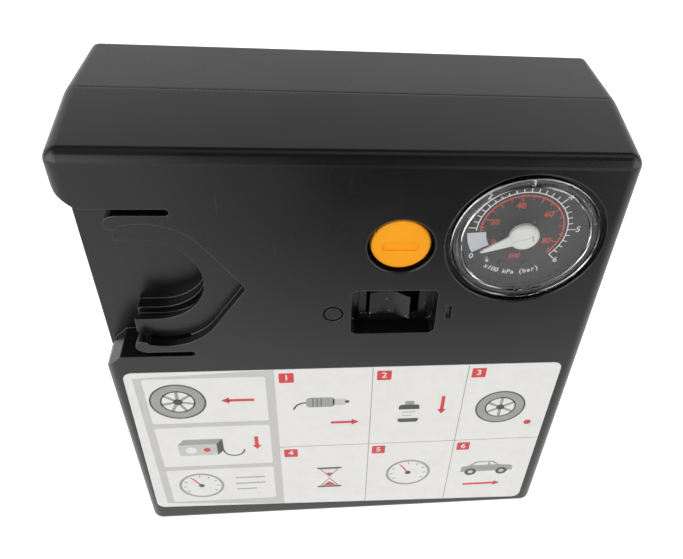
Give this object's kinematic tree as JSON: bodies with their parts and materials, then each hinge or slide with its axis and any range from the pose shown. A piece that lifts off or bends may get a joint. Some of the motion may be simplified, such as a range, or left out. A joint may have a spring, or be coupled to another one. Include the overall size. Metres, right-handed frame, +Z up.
{
  "type": "portable tire inflator",
  "caption": "Boxy compact air compressor with a round pressure gauge, a round release button, a rocker switch and a sideways bottle seat.",
  "frame": {"origin": "on the ground below the middle of the box's overall width and depth", "axes": "+Z up, the gauge face looks to -Y, +X to the viewer's right"},
  "size_m": [0.1786, 0.072, 0.1988],
  "materials": {
    "acetal": "moulded",
    "black_plastic": "satin moulded",
    "brass": "machined",
    "bronze": "sintered",
    "capacitor": "dipped",
    "cast_alloy": "as cast",
    "clear_plastic": "clear gloss",
    "copper": "enamelled wire",
    "dial_print": "printed",
    "gloss_black": "satin",
    "iron": "plain",
    "label_vinyl": "satin printed film",
    "orange_plastic": "satin",
    "pointer_white": "matte",
    "ptfe": "moulded",
    "rubber": "matte",
    "steel": "machined",
    "wire_red": "insulation"
  },
  "bodies": {
    "housing": {"front_cover": "black_plastic", "rear_cover": "black_plastic", "instruction_label": "label_vinyl", "release_valve_body": "brass", "switch_body": "gloss_black", "switch_terminals": "brass", "gauge_case": "black_plastic", "gauge_lens": "clear_plastic", "gauge_dial": "dial_print", "gauge_movement": "brass", "bourdon_tube": "bronze", "gauge_stem": "brass", "pump_frame": "cast_alloy", "motor_can": "steel", "motor_magnets": "iron", "motor_end_bell": "gloss_black", "motor_brushes": "brass", "motor_bushes": "bronze", "crank_bush": "bronze", "pump_cylinder": "cast_alloy", "valve_plate": "cast_alloy", "outlet_reed": "steel", "cylinder_head": "cast_alloy", "head_screws": "steel", "motor_screws": "steel", "pump_screws": "steel", "pump_grommets": "rubber", "housing_screws": "steel", "air_tee": "brass", "gauge_tube": "rubber", "valve_tube": "rubber", "outlet_tube": "rubber", "hose_gland": "brass", "cord_gland": "gloss_black", "supply_leads": "wire_red", "motor_leads": "rubber", "suppressor": "capacitor", "rubber_feet": "rubber"},
    "button": {"release_button": "orange_plastic", "button_spring": "steel", "valve_stem": "steel", "valve_seal": "rubber"},
    "rocker": {"switch_rocker": "gloss_black"},
    "pointer": {"gauge_pointer": "pointer_white", "gauge_arbor": "brass"},
    "sector": {"gauge_sector": "brass"},
    "crank": {"crank_gear": "acetal", "crank_shaft": "steel", "crank_pin": "steel"},
    "rotor": {"armature": "iron", "armature_windings": "copper", "commutator": "copper", "motor_shaft": "steel", "motor_pinion": "brass"},
    "rod": {"connecting_rod": "cast_alloy", "wrist_pin": "steel"},
    "piston": {"piston": "cast_alloy", "piston_ring": "ptfe"}
  },
  "joints": [
    {"name": "button_press", "type": "slide", "parent": "housing", "child": "button", "axis": [0, 1, 0], "range_m": [0, 0.0025], "stiffness_N_per_m": 900, "springref_m": -0.002, "deforming": ["button_spring"]},
    {"name": "rocker_tilt", "type": "hinge", "parent": "housing", "child": "rocker", "pos_m": [0.014, -0.0253, 0.1335], "axis": [0, 0, 1], "range_deg": [0, 20]},
    {"name": "pointer_turn", "type": "hinge", "parent": "housing", "child": "pointer", "pos_m": [0.0557, -0.0321, 0.1652], "axis": [0, 1, 0], "range_deg": [0, 235]},
    {"name": "sector_turn", "type": "hinge", "parent": "housing", "child": "sector", "pos_m": [0.06613, -0.023, 0.15477], "axis": [0, 1, 0], "range_deg": [-42.8, 0]},
    {"name": "crank_turn", "type": "hinge", "parent": "housing", "child": "crank", "pos_m": [-0.0035, -0.01, 0.028], "axis": [1, 0, 0], "continuous": true},
    {"name": "rotor_turn", "type": "hinge", "parent": "housing", "child": "rotor", "pos_m": [-0.004, 0.01, 0.04333], "axis": [1, 0, 0], "continuous": true},
    {"name": "rod_swing", "type": "hinge", "parent": "crank", "child": "rod", "pos_m": [0.008, -0.01, 0.034], "axis": [1, 0, 0], "continuous": true},
    {"name": "piston_slide", "type": "slide", "parent": "housing", "child": "piston", "axis": [0, 0, 1], "range_m": [-0.012, 0]}
  ],
  "couplings": [
    {"joint": "sector_turn", "follows": "pointer_turn", "ratio": -0.18},
    {"joint": "rotor_turn", "follows": "crank_turn", "ratio": -5},
    {"joint": "rod_swing", "follows": "crank_turn", "ratio": -1}
  ]
}
